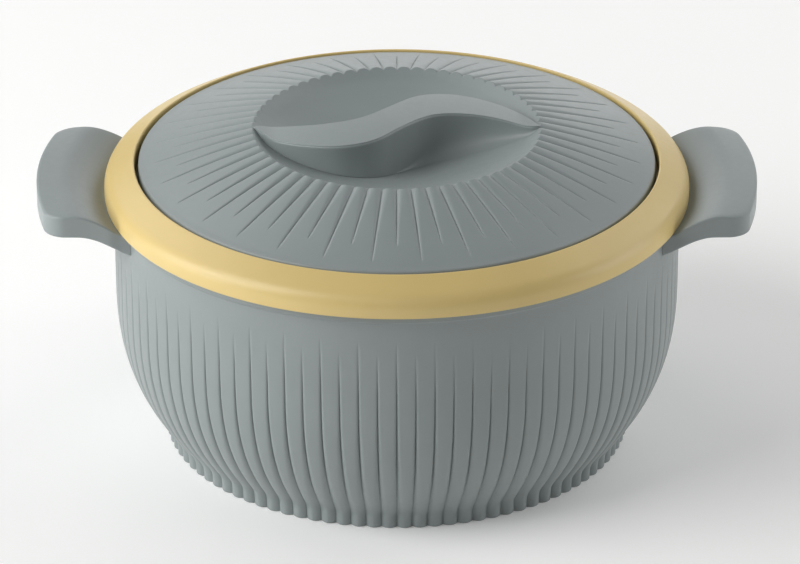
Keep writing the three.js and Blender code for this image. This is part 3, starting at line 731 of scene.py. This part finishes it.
finishes = {
    "grey_plastic": moulded("satin_grey_plastic", linear(141, 149, 149), 0.42),
    "yellow_plastic": moulded("satin_yellow_plastic", linear(217, 192, 128), 0.36),
    "inner_plastic": moulded("smooth_light_plastic", linear(190, 194, 190), 0.4),
    "bowl_steel": metal("spun_steel", (0.66, 0.665, 0.67), 0.24, True),
    "screw_steel": metal("zinc_plated_steel", (0.55, 0.56, 0.565), 0.4, False),
    "foam": foamed("rigid_foam", (0.82, 0.74, 0.47)),
}

# Each new piece with its body, its finish and the CAD node that it stands for

pieces = [
    (outer_shell(), "body", "grey_plastic", "outer_shell"),
    (rim_ring(), "body", "yellow_plastic", "rim_ring"),
    (inner_bowl(), "body", "bowl_steel", "inner_bowl"),
    (base_cover(), "body", "grey_plastic", "base_cover"),
    (filler_plug("base_plug_skin", 4.6, COVER_WALL), "body", "grey_plastic", "base_plug"),
    (handle("handle_skin_right", False), "body", "grey_plastic", "handle_right"),
    (handle("handle_skin_left", True), "body", "grey_plastic", "handle_left"),
    (lid_cover(), "lid", "grey_plastic", "lid_cover"),
    (lid_grip(), "lid", "grey_plastic", "lid_grip"),
    (lid_liner(), "lid", "inner_plastic", "lid_liner"),
    (filler_plug("lid_plug_skin", LINER_BOTTOM, LINER_WALL), "lid", "inner_plastic", "lid_plug"),
]
for piece, body, slot, node in pieces:
    piece.data.materials.append(finishes[slot])
    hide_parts(node)
    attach(piece, body)

# The foam and the screws stay as the CAD has them, in better materials

for name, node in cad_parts.items():
    if "screw" in name or "foam" in name:
        finish = finishes["screw_steel" if "screw" in name else "foam"]
        for place in node.material_slots:
            place.material = finish

# Floor, light and camera

bpy.ops.mesh.primitive_plane_add(size=12, location=(0, 0, 0))
floor = bpy.context.object
floor.name = "floor"
pale = moulded("pale_floor", linear(250, 250, 249), 0.9, 0.1, 0.004)
glow = pale.node_tree.nodes["Principled BSDF"].inputs
glow["Emission Color"].default_value = (1, 1, 1, 1)
glow["Emission Strength"].default_value = 0.08
floor.data.materials.append(pale)

scene = bpy.context.scene
scene.view_settings.view_transform = "Standard"

world = bpy.data.worlds.new("soft_studio")
world.use_nodes = True
world.node_tree.nodes["Background"].inputs["Color"].default_value = (1, 1, 1, 1)
world.node_tree.nodes["Background"].inputs["Strength"].default_value = 0.02
scene.world = world


LAMP_SIZE, LAMP_DISTANCE = 1, 1.5
LAMP_TARGET = np.array([0, 0, 0.08])


def softbox(name, azimuth, elevation, power):
    """A square area light that faces the casserole.

    It is seen from there at an azimuth (0 at the right, 90 behind) and an elevation."""
    turn, lift = math.radians(azimuth), math.radians(elevation)
    level = math.cos(lift)
    way = np.array([level * math.cos(turn), level * math.sin(turn), math.sin(lift)])
    light = bpy.data.lights.new(name, "AREA")
    light.shape, light.size, light.energy = "SQUARE", LAMP_SIZE, power
    lamp = bpy.data.objects.new(name, light)
    lamp.location = way * LAMP_DISTANCE + LAMP_TARGET
    lamp.rotation_euler = (math.pi / 2 - lift, 0, turn + math.pi / 2)
    scene.collection.objects.link(lamp)


softbox("right_low", 0, 12, 8.2)
softbox("right_back", 60, 12, 2.4)
softbox("back", 90, 12, 3.8)
softbox("left_low", 190, 12, 11.6)
softbox("right_high", 30, 40, 5.6)
softbox("left_back_high", 135, 40, 5.1)
softbox("left_high", 205, 40, 12.6)
softbox("front_high", 260, 40, 1.6)

# The camera that was fitted to the photograph: its place, how far it looks down, and its turn
CAMERA_PLACE = (0, -2.0742, 1.10847)
CAMERA_TILT, CAMERA_TURN = 0.464794, -0.000687

camera_data = bpy.data.cameras.new("photo_camera")
camera_data.sensor_width = 36
camera_data.lens = 231.52
camera = bpy.data.objects.new("photo_camera", camera_data)
camera.location = CAMERA_PLACE
camera.rotation_euler = (math.pi / 2 - CAMERA_TILT, 0, CAMERA_TURN)
scene.collection.objects.link(camera)
scene.camera = camera

bpy.context.view_layer.update()
